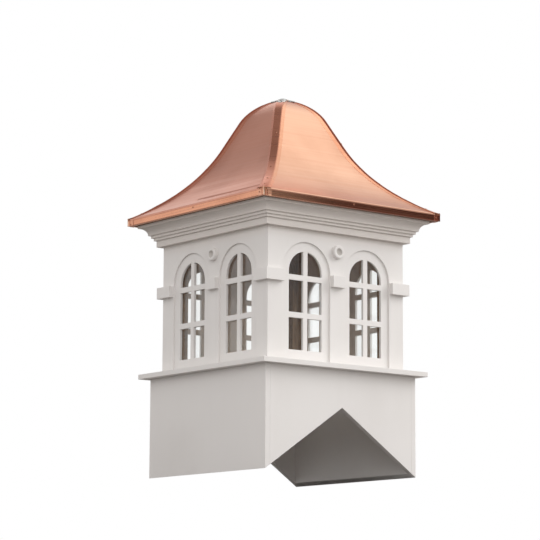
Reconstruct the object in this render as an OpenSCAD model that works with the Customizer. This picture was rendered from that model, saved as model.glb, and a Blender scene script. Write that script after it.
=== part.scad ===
// Square barn cupola: a panelled white tower with paired arched windows under a copper bell roof.
// The origin is under the middle of the base, at the height of its lowest edge.
// The front faces -Y, and the ridge of the barn roof runs along Y under the saddle cut.

/* [Base] */
// Width of the square base over its boards
base_w = 635; // [600:1:680]
// Height from the lowest edge of the base to the shelf
base_h = 336; // [310:1:460]
// Thickness of the base boards
board_t = 19; // [12:1:25]
// Pitch of the barn roof that the saddle cut fits, in degrees
barn_pitch = 33.7; // [20:0.1:38]

/* [Shelf] */
// Thickness of the shelf between base and tower
shelf_t = 16; // [10:1:25]
// Overhang of the shelf past the base
shelf_over = 30; // [10:1:45]
// Width of the shelf and of the roof curb that shows inside the tower walls
inner_lap = 10; // [5:1:20]

/* [Tower] */
// Width of the square tower
tower_w = 578; // [550:1:600]
// Height from the shelf to the underside of the frieze
tower_h = 437; // [420:1:520]
// Thickness of the outer skin, which is the depth of the arched recesses
skin_t = 6; // [4:0.5:12]
// Thickness of the window sheet behind the skin
sash_t = 9.5; // [6:0.5:15]
// Thickness of the clear glazing sheet
glass_t = 3; // [2:0.5:6]
// Width of the square posts inside the corners
post_w = 47; // [35:1:48]

/* [Windows] */
// Distance between the centres of the two windows in a face
window_pitch = 256; // [240:1:270]
// Width of an arched recess in the skin
recess_w = 200; // [180:1:210]
// Width of the glazed opening
light_w = 137; // [110:1:150]
// Height of the spring line of the arches above the shelf
spring_h = 296; // [280:1:310]
// Height of the bottom rail above the shelf
sill_h = 40; // [25:1:50]
// Height of the two lower rows of panes
pane_h = 105; // [80:1:108]
// Width of the glazing bars
bar_w = 18; // [12:1:22]
// Lap of the glazing sheet past the openings
glass_lap = 15; // [8:1:20]

/* [Imposts and roundels] */
// Height of the impost blocks, which end at the spring line
impost_h = 38; // [25:1:50]
// Projection of the impost blocks
impost_out = 16; // [8:1:24]
// Setback of the impost blocks from the edge of the pilaster
impost_back = 2; // [1:0.5:6]
// Radius of the roundels between the arches
roundel_r = 22; // [20:0.5:24]
// Projection of the roundels
roundel_out = 14; // [12:0.5:20]
// Bevel round the face of a roundel
roundel_bevel = 4; // [1:0.5:6]
// Radius of the dished dimple at the face of a roundel
dimple_r = 12; // [6:0.5:13]
// Radius of the floor of the dimple
dimple_floor_r = 6; // [2:0.5:8]
// Depth of the dimple
dimple_deep = 6; // [2:0.5:10]
// Height of the roundels above the spring line
roundel_rise = 80; // [70:1:84]

/* [Cornice] */
// Height of the frieze that shows under the crown
frieze_h = 22; // [14:1:40]
// Thickness of the frieze boards
frieze_t = 18; // [10:1:25]
// Height of each fillet of the crown
step_h = 9; // [5:0.5:14]
// Projection of each fillet
step_out = 7; // [3:0.5:10]
// Radius of the cove
cove_r = 26; // [16:1:36]
// Height of the lip over the cove
crown_lip = 10; // [5:0.5:16]

/* [Bell roof] */
// Overhang of the copper eave past the crown
eave_over = 24.5; // [19:0.5:40]
// Height of the copper band round the eave
eave_h = 25; // [23:1:40]
// Depth of the lip that folds in under the eave
eave_lip = 14; // [8:1:17]
// Height of the roof from the top of the eave to the peak
roof_rise = 405; // [370:1:470]
// Radius of the round upper part of the bell
dome_r = 140; // [130:1:170]
// Radius of the hollow lower part of the bell
flare_r = 490; // [400:5:515]
// Slope of the roof at the eave, in degrees
eave_slope = 26; // [20:0.5:29]
// Slope of the roof at the peak, in degrees
peak_slope = 8.5; // [6:0.5:17]
// Thickness of the copper
copper_t = 2; // [1:0.25:2.5]
// Width of the flat cap that runs down each hip
hip_cap_w = 25; // [16:1:34]
// Height of the hip caps over the hips
hip_cap_rise = 3.5; // [2:0.5:8]
// Width of the tabs that fold down over a corner of the eave, in plan
corner_tab = 18; // [10:1:26]
// Radius of the round cap at the peak
peak_cap_r = 27; // [24:1:34]
// Height of the rim of that cap over the peak of the roof
peak_cap_rim = 0.5; // [0:0.5:3]
// Height of its cone over the rim
peak_cap_cone = 2; // [1:0.5:4]

/* [Roof frame] */
// Thickness of the timber curb under the eave
curb_t = 19; // [15:1:22]
// Thickness of the hip ribs
rib_t = 19; // [15:1:25]
// Depth of the hip ribs
rib_deep = 60; // [40:1:70]
// Width of the timber block under the peak
block_w = 90; // [70:1:110]
// Height of the timber block, measured down from the peak
block_h = 130; // [100:1:150]

/* [Rod socket] */
// Bore of the socket for a finial or weathervane rod
rod_bore = 19.5; // [12:0.1:22]
// Wall of the socket tube
socket_wall = 4; // [2:0.5:5]
// Height of the socket over the peak
socket_up = 5; // [4:0.5:20]
// Width of the flange under the block, past the tube
socket_flange = 14; // [8:1:20]
// Thickness of that flange
flange_t = 4; // [2:0.5:6]
// Gap round the socket tube
socket_gap = 0.3; // [0.2:0.1:0.8]

/* [Hidden] */
$fn = 96;

// Faces of the cupola, each as its angle from the front
front_angle = 0;
right_angle = 90;
back_angle = 180;
left_angle = 270;
face_angles = [0 : 90 : 270];

paint = "whitesmoke";
clear = [0.8, 0.9, 0.95, 0.35];
bare_wood = "burlywood";
copper = [0.80, 0.47, 0.33];
galvanized = "silver";

// Levels, from the lowest edge upward
shelf_z = base_h;
tower_z = shelf_z + shelf_t;
spring_z = tower_z + spring_h;
frieze_z = tower_z + tower_h;
crown_z = frieze_z + frieze_h;
cove_z = crown_z + 2 * step_h;
curb_z = cove_z + cove_r + crown_lip;
eave_bottom = curb_z - copper_t;
eave_top = eave_bottom + eave_h;
peak_z = eave_top + roof_rise;
block_z = peak_z - block_h;
wall_h = curb_z - tower_z;

// Half widths, from the axis outward
base_half = base_w / 2;
tower_half = tower_w / 2;
sash_half = tower_half - skin_t;
glass_half = sash_half - sash_t;
inner_half = glass_half - inner_lap;
shelf_half = base_half + shelf_over;
frieze_half = tower_half + frieze_t;
cove_half = frieze_half + 3 * step_out;
crown_half = cove_half + cove_r;
eave_half = crown_half + eave_over;
curb_half = eave_half - copper_t;

pilaster_edge = window_pitch / 2 + recess_w / 2;
mid_pilaster_w = window_pitch - recess_w;
// Gap round the glass in the rebates of the posts
glass_gap = 0.3;
tube_r = rod_bore / 2 + socket_wall;
tube_hole_r = tube_r + socket_gap;
// Longer than anything that is cut, so that cutting shapes pass right through
past = 1;
reach = 2 * shelf_half + 2 * eave_half;

// A bell curve is a round dome arc and a hollow flare arc, joined by a flank tangent to both.
// Its points are [distance from the axis, height].
function normal_at(slope) = [sin(slope), cos(slope)];

// The largest flare leaves no flank at all, so the flare in use stays a little smaller
function fitting_flare(wanted, dome, dome_to_edge, edge_normal) =
    min(wanted, 0.98 * (dome_to_edge * dome_to_edge - dome * dome)
        / (2 * (dome - dome_to_edge * edge_normal)));

function flank_slope(dome, flare, dome_to_flare) =
    atan2(dome_to_flare.x, dome_to_flare.y) - acos((dome + flare) / norm(dome_to_flare));

// The parts of a bell curve, by the names below
function bell_curve(dome, slope_at_peak, wanted_flare, slope_at_edge, edge) =
    let (
        dome_centre = [0, peak_z] - dome * normal_at(slope_at_peak),
        edge_point = [edge, eave_top],
        edge_normal = normal_at(slope_at_edge),
        flare = fitting_flare(wanted_flare, dome, edge_point - dome_centre, edge_normal),
        flare_centre = edge_point + flare * edge_normal,
        flank = flank_slope(dome, flare, flare_centre - dome_centre)
    )
    [dome, dome_centre, flare, flare_centre, normal_at(flank), edge];

dome_radius = 0;
dome_middle = 1;
flare_radius = 2;
flare_middle = 3;
flank_normal = 4;
curve_edge = 5;

face_curve = bell_curve(dome_r, peak_slope, flare_r, eave_slope, eave_half);
flank = atan2(face_curve[flank_normal].x, face_curve[flank_normal].y);

// The hip runs on the diagonal, where the same bell is stretched across. Each arc is drawn in this many steps.
hip_steps = 16;
function between(first, last) = [for (step = [0 : hip_steps]) first + (last - first) * step / hip_steps];
function hip_slope(slope) = atan(tan(slope) / sqrt(2));
function hip_point(point, slope) =
    [sqrt(2) * point.x, point.y] + hip_cap_rise * normal_at(hip_slope(slope));
hip_foot = hip_point([eave_half, eave_top], eave_slope);
// Points of the top of a hip cap, from the peak to just past the eave
hip_line = [
    for (slope = between(peak_slope, flank))
        hip_point(face_curve[dome_middle] + face_curve[dome_radius] * normal_at(slope), slope),
    for (slope = between(flank, eave_slope))
        hip_point(face_curve[flare_middle] - face_curve[flare_radius] * normal_at(slope), slope),
    hip_foot + hip_cap_w * [cos(hip_slope(eave_slope)), -sin(hip_slope(eave_slope))]
];
// The flank leans this much into each arc, so that it crosses them cleanly where they would only touch
flank_lean = 0.05;
// Steps round a full circle of the bell, which is large against the thin copper on it
bell_steps = 720;

// Turns a shape made on the front face to another face
module on_face(angle) {
    rotate([0, 0, angle]) children();
}

module on_each_face() {
    for (angle = face_angles) on_face(angle) children();
}

// Places a shape drawn in plan [across, up] on the front face, from one half width to another
module front_sheet(outer_half, thick) {
    translate([0, -outer_half + thick, 0]) rotate([90, 0, 0]) linear_extrude(thick) children();
}

// Draws a profile [distance from the axis, height] along the whole front face
module front_run() {
    rotate([90, 0, -90]) linear_extrude(reach, center = true) children();
}

// The quarter of the plan that belongs to the front face, which mitres whatever it cuts
module front_quarter() {
    translate([0, 0, -past]) linear_extrude(2 * peak_z)
        polygon([[0, 0], [-reach, -reach], [reach, -reach]]);
}

module mitred() {
    intersection() {
        children();
        front_quarter();
    }
}

// A square block of the given half width between two levels
module square_block(half, low, high) {
    translate([-half, -half, low]) cube([2 * half, 2 * half, high - low]);
}

// Base

// The ridge of the barn roof under the cupola
module barn_ridge() {
    drop = past / tan(barn_pitch);
    rotate([90, 0, 0]) linear_extrude(2 * base_w, center = true)
        polygon([[-base_half - drop, -past], [0, base_half * tan(barn_pitch)], [base_half + drop, -past]]);
}

module base_side_board() {
    color(paint) difference() {
        translate([base_half - board_t, -base_half, 0]) cube([board_t, base_w, base_h]);
        barn_ridge();
    }
}

module base_end_board() {
    inside = base_w - 2 * board_t;
    color(paint) difference() {
        translate([-inside / 2, -base_half, 0]) cube([inside, board_t, base_h]);
        barn_ridge();
    }
}

module shelf_board() {
    board_w = shelf_half - inner_half;
    color(paint) mitred() translate([-shelf_half, -shelf_half, shelf_z])
        cube([2 * shelf_half, board_w, shelf_t]);
}

// Tower

// Outline of an arched opening that stands on the line y = 0 of its own drawing
module arch_outline(wide, spring) {
    translate([-wide / 2, 0]) square([wide, spring]);
    translate([0, spring]) circle(d = wide);
}

module at_both_windows() {
    for (side = [-1, 1]) translate([side * window_pitch / 2, 0]) children();
}

module wall_outline() {
    translate([-tower_half, tower_z]) square([tower_w, wall_h]);
}

// The skin forms the corner pilasters, the middle one and the spandrels over the arches
module arcade() {
    color(paint) mitred() front_sheet(tower_half, skin_t) difference() {
        wall_outline();
        at_both_windows() translate([0, tower_z - past]) arch_outline(recess_w, spring_h + past);
    }
}

// Vertical bar and the two cross bars of one window
module glazing_bars() {
    translate([-bar_w / 2, 0]) square([bar_w, spring_h + light_w]);
    for (row = [1, 2])
        translate([-light_w / 2 - past, sill_h + row * pane_h + (row - 1) * bar_w])
            square([light_w + 2 * past, bar_w]);
}

module sash() {
    color(paint) mitred() front_sheet(sash_half, sash_t) difference() {
        wall_outline();
        at_both_windows() translate([0, tower_z]) difference() {
            translate([0, sill_h]) arch_outline(light_w, spring_h - sill_h);
            glazing_bars();
        }
    }
}

// A sheet of glass, or the room for one where a gap round it is given
module glass_sheet(gap) {
    wide = window_pitch + light_w + 2 * glass_lap;
    low = tower_z + sill_h - glass_lap;
    high = spring_z + light_w / 2 + glass_lap;
    translate([-wide / 2 - gap, -glass_half - gap, low - gap])
        cube([wide + 2 * gap, glass_t + 2 * gap, high - low + 2 * gap]);
}

module glazing() {
    color(clear) on_each_face() glass_sheet(0);
}

// The walls are fixed to posts that stand on the shelf and carry the roof curb.
// Where the windows leave less room than a post takes, it is rebated for the glass.
module wall_posts() {
    color(bare_wood) on_each_face() difference() {
        translate([glass_half - post_w, -glass_half, tower_z]) cube([post_w, post_w, wall_h]);
        on_face(front_angle) glass_sheet(glass_gap);
        on_face(right_angle) glass_sheet(glass_gap);
    }
}

// An angle of moulding that wraps a corner pilaster
module corner_impost() {
    outer = tower_half + impost_out;
    inner = pilaster_edge + impost_back;
    difference() {
        translate([inner, -outer, spring_z - impost_h]) cube([outer - inner, outer - inner, impost_h]);
        square_block(tower_half, 0, peak_z);
    }
}

module corner_imposts() {
    color(paint) on_each_face() corner_impost();
}

module mid_impost() {
    wide = mid_pilaster_w - 2 * impost_back;
    translate([-wide / 2, -tower_half - impost_out, spring_z - impost_h])
        cube([wide, impost_out, impost_h]);
}

module mid_imposts() {
    color(paint) on_each_face() mid_impost();
}

// The cone that leaves the bevel round a disc of the given radius, which stands on z = 0
module bevel_cone(face_r, tall) {
    cylinder(r1 = face_r + tall, r2 = face_r, h = tall);
}

module dimple() {
    slope = (dimple_r - dimple_floor_r) / dimple_deep;
    cylinder(r1 = dimple_floor_r, r2 = dimple_r + past * slope, h = dimple_deep + past);
}

module roundel() {
    translate([0, -tower_half, spring_z + roundel_rise]) rotate([90, 0, 0]) difference() {
        intersection() {
            cylinder(r = roundel_r, h = roundel_out);
            bevel_cone(roundel_r - roundel_bevel, roundel_out);
        }
        translate([0, 0, roundel_out - dimple_deep]) dimple();
    }
}

module roundels() {
    color(paint) on_each_face() roundel();
}

// Cornice

module frieze() {
    color(paint) mitred() translate([-frieze_half, -frieze_half, frieze_z])
        cube([2 * frieze_half, frieze_t, curb_z - frieze_z]);
}

module crown_profile() {
    for (step = [1, 2])
        translate([frieze_half, crown_z + (step - 1) * step_h]) square([step * step_out, step_h]);
    difference() {
        translate([frieze_half, cove_z]) square([crown_half - frieze_half, cove_r + crown_lip]);
        translate([crown_half, cove_z]) circle(r = cove_r);
    }
}

module crown() {
    color(paint) mitred() front_run() crown_profile();
}

// Roof frame

module roof_curb() {
    color(bare_wood) difference() {
        intersection() {
            square_block(curb_half, curb_z, curb_z + curb_t);
            bell_body(copper_t);
        }
        square_block(inner_half, 0, peak_z);
    }
}

module block_column(low, high) {
    rotate([0, 0, 45]) square_block(block_w / 2, low, high);
}

module rib_pair_side() {
    intersection() {
        bell_layer(copper_t, copper_t + rib_deep);
        diagonal_strip(rib_t / 2);
    }
}

module hip_rib() {
    difference() {
        intersection() {
            union() {
                rib_pair_side();
                mirror([1, 1, 0]) rib_pair_side();
            }
            square_block(curb_half, curb_z + curb_t, peak_z);
        }
        block_column(0, peak_z);
    }
}

module hip_ribs() {
    color(bare_wood) on_each_face() hip_rib();
}

module peak_block() {
    color(bare_wood) difference() {
        intersection() {
            block_column(block_z, peak_z);
            bell_body(copper_t);
        }
        translate([0, 0, block_z - past]) cylinder(r = tube_hole_r, h = block_h + 2 * past);
    }
}

// Bell roof

// Half of the section under the flare and the flank of a bell curve, with its surface moved inward by inset
module flare_section(curve, inset) {
    dome = curve[dome_radius] - inset;
    hollow = curve[flare_radius] + inset;
    edge = curve[curve_edge] + max(0, -inset);
    run = curve[flare_middle].x - edge;
    edge_z = curve[flare_middle].y - sqrt(hollow * hollow - run * run);
    difference() {
        polygon([
            [0, eave_bottom],
            [0, curve[dome_middle].y],
            curve[dome_middle] + (dome - flank_lean) * curve[flank_normal],
            curve[flare_middle] - (hollow - flank_lean) * curve[flank_normal],
            [edge, edge_z + past],
            [edge, eave_bottom]
        ]);
        translate(curve[flare_middle]) circle(r = hollow, $fn = bell_steps);
    }
}

// Half of the section under the dome
module dome_section(curve, inset) {
    dome = curve[dome_radius] - inset;
    intersection() {
        translate(curve[dome_middle]) circle(r = dome, $fn = bell_steps);
        translate([0, curve[dome_middle].y]) square(dome);
    }
}

// The bell over the front face, run on past its hips
module bell_run(inset) {
    front_run() flare_section(face_curve, inset);
    front_run() dome_section(face_curve, inset);
}

// The bell inside the copper, with its surface moved inward by inset
module bell_body(inset) {
    on_each_face() mitred() bell_run(inset);
}

// The front and the back half of the bell's section
module bell_section() {
    for (side = [0, 1]) mirror([side, 0]) {
        flare_section(face_curve, 0);
        dome_section(face_curve, 0);
    }
}

// The bell that the copper trim is cut to fit. It is made of two bells that cross, so it has no seams on the hips.
module bell_under_trim() {
    intersection() {
        on_face(front_angle) front_run() bell_section();
        on_face(right_angle) front_run() bell_section();
    }
}

// The front quarter of a skin between two insets
module bell_layer(outer, inner) {
    mitred() difference() {
        bell_run(outer);
        bell_run(inner);
    }
}

// The strip over the hip at the front right corner, in the half that belongs to the front face
module diagonal_strip(half) {
    rotate([0, 0, -45]) translate([0, -half, 0]) cube([reach, half, 2 * peak_z]);
}

module peak_hole() {
    translate([0, 0, eave_bottom]) cylinder(r = tube_hole_r, h = 2 * roof_rise);
}

module roof_panel() {
    color(copper) difference() {
        bell_layer(0, copper_t);
        peak_hole();
    }
}

// The body under a flat cap that runs down the hip at the front right corner
module hip_batten() {
    last = hip_line[len(hip_line) - 1];
    rotate([90, 0, -45]) linear_extrude(hip_cap_w, center = true)
        polygon(concat([[last.x, eave_bottom], [0, eave_bottom], [0, hip_line[0].y]], hip_line));
}

// The half of a corner's folded tab that belongs to the front face
module corner_tab_side() {
    intersection() {
        bell_layer(-copper_t, 0);
        diagonal_strip(corner_tab);
        square_block(eave_half + copper_t, eave_bottom, eave_top + copper_t);
    }
}

module hip_cap() {
    color(copper) difference() {
        union() {
            intersection() {
                hip_batten();
                square_block(eave_half + copper_t, eave_bottom, 2 * peak_z);
            }
            corner_tab_side();
            mirror([1, 1, 0]) corner_tab_side();
        }
        bell_under_trim();
        translate([0, 0, eave_bottom]) cylinder(r = peak_cap_r, h = 2 * roof_rise);
    }
}

module eave_band_profile() {
    intersection() {
        translate([curb_half, eave_bottom]) square([copper_t, eave_h]);
        flare_section(face_curve, copper_t);
    }
    translate([eave_half - eave_lip, eave_bottom]) square([eave_lip, copper_t]);
}

module eave_band() {
    color(copper) mitred() front_run() eave_band_profile();
}

// A round cap that covers the ends of the hip caps, with a low cone up to the socket
module peak_cap() {
    rim_z = peak_z + peak_cap_rim;
    color(copper) difference() {
        union() {
            translate([0, 0, block_z]) cylinder(r = peak_cap_r, h = rim_z - block_z);
            translate([0, 0, rim_z]) cylinder(r1 = peak_cap_r, r2 = tube_hole_r, h = peak_cap_cone);
        }
        bell_under_trim();
        peak_hole();
    }
}

module rod_socket() {
    foot_z = block_z - flange_t;
    tube_h = peak_z + socket_up - foot_z;
    color(galvanized) translate([0, 0, foot_z]) difference() {
        union() {
            cylinder(r = tube_r, h = tube_h);
            cylinder(r = tube_r + socket_flange, h = flange_t);
        }
        translate([0, 0, -past]) cylinder(d = rod_bore, h = tube_h + 2 * past);
    }
}

on_face(front_angle) base_end_board();  // base_front
base_side_board();  // base_right
on_face(back_angle) base_end_board();  // base_back
mirror([1, 0, 0]) base_side_board();  // base_left
on_face(front_angle) shelf_board();  // shelf_front
on_face(right_angle) shelf_board();  // shelf_right
on_face(back_angle) shelf_board();  // shelf_back
on_face(left_angle) shelf_board();  // shelf_left
on_face(front_angle) arcade();  // arcade_front
on_face(right_angle) arcade();  // arcade_right
on_face(back_angle) arcade();  // arcade_back
on_face(left_angle) arcade();  // arcade_left
on_face(front_angle) sash();  // sash_front
on_face(right_angle) sash();  // sash_right
on_face(back_angle) sash();  // sash_back
on_face(left_angle) sash();  // sash_left
wall_posts();
glazing();
corner_imposts();
mid_imposts();
roundels();
on_face(front_angle) frieze();  // frieze_front
on_face(right_angle) frieze();  // frieze_right
on_face(back_angle) frieze();  // frieze_back
on_face(left_angle) frieze();  // frieze_left
on_face(front_angle) crown();  // crown_front
on_face(right_angle) crown();  // crown_right
on_face(back_angle) crown();  // crown_back
on_face(left_angle) crown();  // crown_left
roof_curb();
hip_ribs();
peak_block();
on_face(front_angle) roof_panel();  // roof_front
on_face(right_angle) roof_panel();  // roof_right
on_face(back_angle) roof_panel();  // roof_back
on_face(left_angle) roof_panel();  // roof_left
on_face(front_angle) hip_cap();  // hip_cap_front_right
on_face(right_angle) hip_cap();  // hip_cap_back_right
on_face(back_angle) hip_cap();  // hip_cap_back_left
on_face(left_angle) hip_cap();  // hip_cap_front_left
on_face(front_angle) eave_band();  // eave_band_front
on_face(right_angle) eave_band();  // eave_band_right
on_face(back_angle) eave_band();  // eave_band_back
on_face(left_angle) eave_band();  // eave_band_left
peak_cap();
rod_socket();
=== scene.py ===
# Barn cupola: copper bell roof, white board tower and saddle-cut base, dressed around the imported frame.
import bpy
import bmesh
import math
from mathutils import Matrix, Vector


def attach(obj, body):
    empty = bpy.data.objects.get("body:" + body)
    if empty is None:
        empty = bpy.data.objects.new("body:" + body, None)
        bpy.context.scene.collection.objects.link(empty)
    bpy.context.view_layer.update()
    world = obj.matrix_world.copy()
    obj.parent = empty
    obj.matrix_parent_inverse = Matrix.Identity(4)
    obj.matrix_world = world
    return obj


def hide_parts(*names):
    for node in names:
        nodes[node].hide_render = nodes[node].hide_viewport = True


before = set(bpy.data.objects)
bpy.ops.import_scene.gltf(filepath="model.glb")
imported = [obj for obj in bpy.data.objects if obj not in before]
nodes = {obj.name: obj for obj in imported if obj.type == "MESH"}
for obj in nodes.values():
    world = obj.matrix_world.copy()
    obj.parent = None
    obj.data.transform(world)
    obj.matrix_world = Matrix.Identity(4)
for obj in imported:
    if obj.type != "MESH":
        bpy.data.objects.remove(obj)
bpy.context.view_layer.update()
print("frame loaded:", len(nodes), "nodes")

faceTurns = {"front": 0, "right": 90, "back": 180, "left": 270}  # degrees from the front face
hipAcross = Vector((1, -1, 0)).normalized()                      # level, and square to the front left hip
quarter = math.radians(90)
pointGap = 0.00002   # points closer than this are one
seamGap = 0.00005    # the same along a mitre
levelGap = 0.0001    # how far a point may be from the level or row it is picked by
seedSize = 0.001     # of a plane that is merged to the first point of an outline


# Small tools for the modelling

def selectOnly(piece):
    if bpy.context.object and bpy.context.object.mode != 'OBJECT':
        bpy.ops.object.mode_set(mode='OBJECT')
    bpy.ops.object.select_all(action='DESELECT')
    if piece:
        piece.select_set(True)
        bpy.context.view_layer.objects.active = piece


def openEdit(piece, mode='VERT'):
    selectOnly(piece)
    bpy.ops.object.mode_set(mode='EDIT')
    bpy.ops.mesh.select_mode(type=mode)
    bpy.ops.mesh.select_all(action='DESELECT')


def closeEdit():
    bpy.ops.object.mode_set(mode='OBJECT')


def selectAll():
    bpy.ops.mesh.select_all(action='SELECT')


def pickVerts(piece, test):
    mesh = bmesh.from_edit_mesh(piece.data)
    for vert in mesh.verts:
        vert.select_set(test(vert.co))
    mesh.select_flush(True)
    bmesh.update_edit_mesh(piece.data)


def extrudeBy(steps):
    for step in steps:
        bpy.ops.mesh.extrude_region_move(TRANSFORM_OT_translate={"value": step})


def stepsOf(points):
    return [there - here for here, there in zip(points, points[1:])]


def trimBeyond(direction, distance=0.0):
    selectAll()
    bpy.ops.mesh.bisect(plane_co=Vector(direction) * distance, plane_no=direction, clear_outer=True)


def mergeDoubles(gap):
    selectAll()
    bpy.ops.mesh.remove_doubles(threshold=gap)


def settle(piece):
    selectOnly(piece)
    bpy.ops.object.transform_apply(location=True, rotation=True, scale=True)


def applyModifiers(piece):
    selectOnly(piece)
    for modifier in list(piece.modifiers):
        bpy.ops.object.modifier_apply(modifier=modifier.name)


# Gives a sheet its wall, inwards from its outer face
def thicken(piece, thickness):
    solid = piece.modifiers.new("thickness", 'SOLIDIFY')
    solid.thickness = thickness
    solid.offset = -1
    solid.use_even_offset = True
    applyModifiers(piece)


# Uneven hand-formed metal: clouds of dents, stretched along X by the guide.
# Where the clouds are at the middle level, the surface stays as it is.
def dent(piece, name, size, depth, place, stretch=1.0, middle=0.5):
    clouds = bpy.data.textures.new(name, 'CLOUDS')
    clouds.noise_scale = size
    guide = bpy.data.objects.new("dentGuide", None)
    guide.location = place
    guide.scale = (stretch, 1, 1)
    bpy.context.scene.collection.objects.link(guide)
    bpy.context.view_layer.update()
    dents = piece.modifiers.new("dents", 'DISPLACE')
    dents.texture = clouds
    dents.texture_coords = 'OBJECT'
    dents.texture_coords_object = guide
    dents.strength = depth
    dents.mid_level = middle
    applyModifiers(piece)
    bpy.data.objects.remove(guide)


def soften(piece, angle):
    selectOnly(piece)
    bpy.ops.object.shade_smooth_by_angle(angle=math.radians(angle))


# A CAD node keeps its mesh; its edges are rounded by modifiers
def roundEdges(piece, width):
    weld = piece.modifiers.new("weld", 'WELD')
    weld.merge_threshold = pointGap
    bevel = piece.modifiers.new("roundedEdge", 'BEVEL')
    bevel.width = width
    bevel.segments = 2
    bevel.limit_method = 'ANGLE'
    bevel.angle_limit = math.radians(40)
    bevel.harden_normals = True


# Turns all faces away from a point inside the piece, whatever order the operators left them in
def faceOutward(piece, inside):
    openEdit(piece, 'FACE')
    selectAll()
    bpy.ops.mesh.normals_make_consistent(inside=False)
    closeEdit()
    middle = Vector(inside)
    if sum(face.normal.dot(face.center - middle) * face.area for face in piece.data.polygons) < 0:
        piece.data.flip_normals()


def copyPiece(piece, name, turn=0):
    twin = piece.copy()
    twin.data = piece.data.copy()
    twin.name = name
    twin.data.name = name
    bpy.context.scene.collection.objects.link(twin)
    twin.data.transform(Matrix.Rotation(math.radians(turn), 4, 'Z'))
    return twin


# The piece and its copies, a quarter turn apart
def repeatRound(piece, stem):
    piece.name = piece.data.name = stem + "_1"
    return [piece] + [copyPiece(piece, stem + "_" + str(turns + 1), 90 * turns) for turns in (1, 2, 3)]


def joinPieces(pieces):
    selectOnly(pieces[0])
    for piece in pieces:
        piece.select_set(True)
    bpy.ops.object.join()
    return pieces[0]


def paint(piece, material):
    piece.data.materials.clear()
    piece.data.materials.append(material)


# Gives some faces one more material; where a shape is repeated, the numbers count within each repeat
def markFaces(piece, material, numbers, each=None):
    piece.data.materials.append(material)
    each = each or len(piece.data.polygons)
    for face in piece.data.polygons:
        if face.index % each in numbers:
            face.material_index = len(piece.data.materials) - 1


def dress(piece, material, slot, *replaced):
    paint(piece, material)
    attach(piece, "root")
    if replaced:
        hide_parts(*replaced)


# Points of an arc in a section; a tilt of 0 is up, and a quarter turn is outwards
def arcPoints(centre, radius, first, last, count):
    tilts = [first + (last - first) * index / count for index in range(count + 1)]
    return [centre + radius * Vector((math.sin(tilt), math.cos(tilt))) for tilt in tilts]


# A new piece, open for editing, with only its first point, which is selected
def startPoint(name, place):
    selectOnly(None)
    bpy.ops.mesh.primitive_plane_add(size=seedSize, location=place)
    piece = bpy.context.object
    piece.name = name
    settle(piece)
    openEdit(piece)
    selectAll()
    bpy.ops.mesh.merge(type='CENTER')
    return piece


# A sheet that runs along X: its first strip is a grid, and the far edge is then extruded from point to point
def drawSheet(name, halfLength, columns, path):
    selectOnly(None)
    start, after = Vector(path[0]), Vector(path[1])
    step = after - start
    bpy.ops.mesh.primitive_grid_add(x_subdivisions=columns, y_subdivisions=1, size=1,
                                    location=(0, *((start + after) / 2)),
                                    rotation=(math.atan2(step.y, step.x), 0, 0))
    sheet = bpy.context.object
    sheet.name = name
    sheet.scale = (2 * halfLength, step.length, 1)
    settle(sheet)
    openEdit(sheet)
    pickVerts(sheet, lambda co: (co.yz - after).length < step.length / 4)
    extrudeBy((0, there[0] - here[0], there[1] - here[1]) for here, there in zip(path[1:], path[2:]))
    closeEdit()
    return sheet


# Cuts a front sheet along the diagonals of the plan, where it meets its neighbours
def mitreEnds(sheet, inside):
    openEdit(sheet)
    for side in (1, -1):
        trimBeyond((side, 1, 0))
    mergeDoubles(seamGap)
    closeEdit()
    faceOutward(sheet, inside)


# A turned piece: the outline [radius, height] is extruded from point to point and spun about Z
def turnPiece(name, outline, sides):
    piece = startPoint(name, (outline[0][0], 0, outline[0][1]))
    extrudeBy((there[0] - here[0], 0, there[1] - here[1]) for here, there in zip(outline, outline[1:]))
    selectAll()
    bpy.ops.mesh.spin(steps=sides, angle=4 * quarter, center=(0, 0, 0), axis=(0, 0, 1))
    mergeDoubles(pointGap)
    closeEdit()
    faceOutward(piece, (0, 0, min(height for radius, height in outline) - 0.1))
    return piece


# Small tools for the finishes, and for the world

def newFinish(name, color, roughness, metallic=0.0):
    finish = bpy.data.materials.new(name)
    finish.use_nodes = True
    shader = finish.node_tree.nodes["Principled BSDF"]
    shader.inputs["Base Color"].default_value = (*color, 1)
    shader.inputs["Roughness"].default_value = roughness
    shader.inputs["Metallic"].default_value = metallic
    return finish, shader


def addNode(finish, kind, **settings):
    node = finish.node_tree.nodes.new(kind)
    for key, value in settings.items():
        setattr(node, key, value)
    return node


def link(finish, source, target):
    finish.node_tree.links.new(source, target)


# Noise over the piece's own place; the stretch makes streaks where it's uneven
def addNoise(finish, stretch, detail, roughness=0.5, offset=(0, 0, 0)):
    place = addNode(finish, "ShaderNodeTexCoord")
    mapping = addNode(finish, "ShaderNodeMapping")
    mapping.inputs["Scale"].default_value = stretch
    mapping.inputs["Location"].default_value = offset
    noise = addNode(finish, "ShaderNodeTexNoise")
    noise.inputs["Scale"].default_value = 1.0
    noise.inputs["Detail"].default_value = detail
    noise.inputs["Roughness"].default_value = roughness
    link(finish, place.outputs["Object"], mapping.inputs["Vector"])
    link(finish, mapping.outputs["Vector"], noise.inputs["Vector"])
    return noise.outputs["Fac"]


def addRange(finish, source, fromLow, fromHigh, toLow, toHigh):
    ramp = addNode(finish, "ShaderNodeMapRange", interpolation_type='SMOOTHSTEP')
    for key, value in zip(("From Min", "From Max", "To Min", "To Max"), (fromLow, fromHigh, toLow, toHigh)):
        ramp.inputs[key].default_value = value
    link(finish, source, ramp.inputs["Value"])
    return ramp.outputs["Result"]


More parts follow.
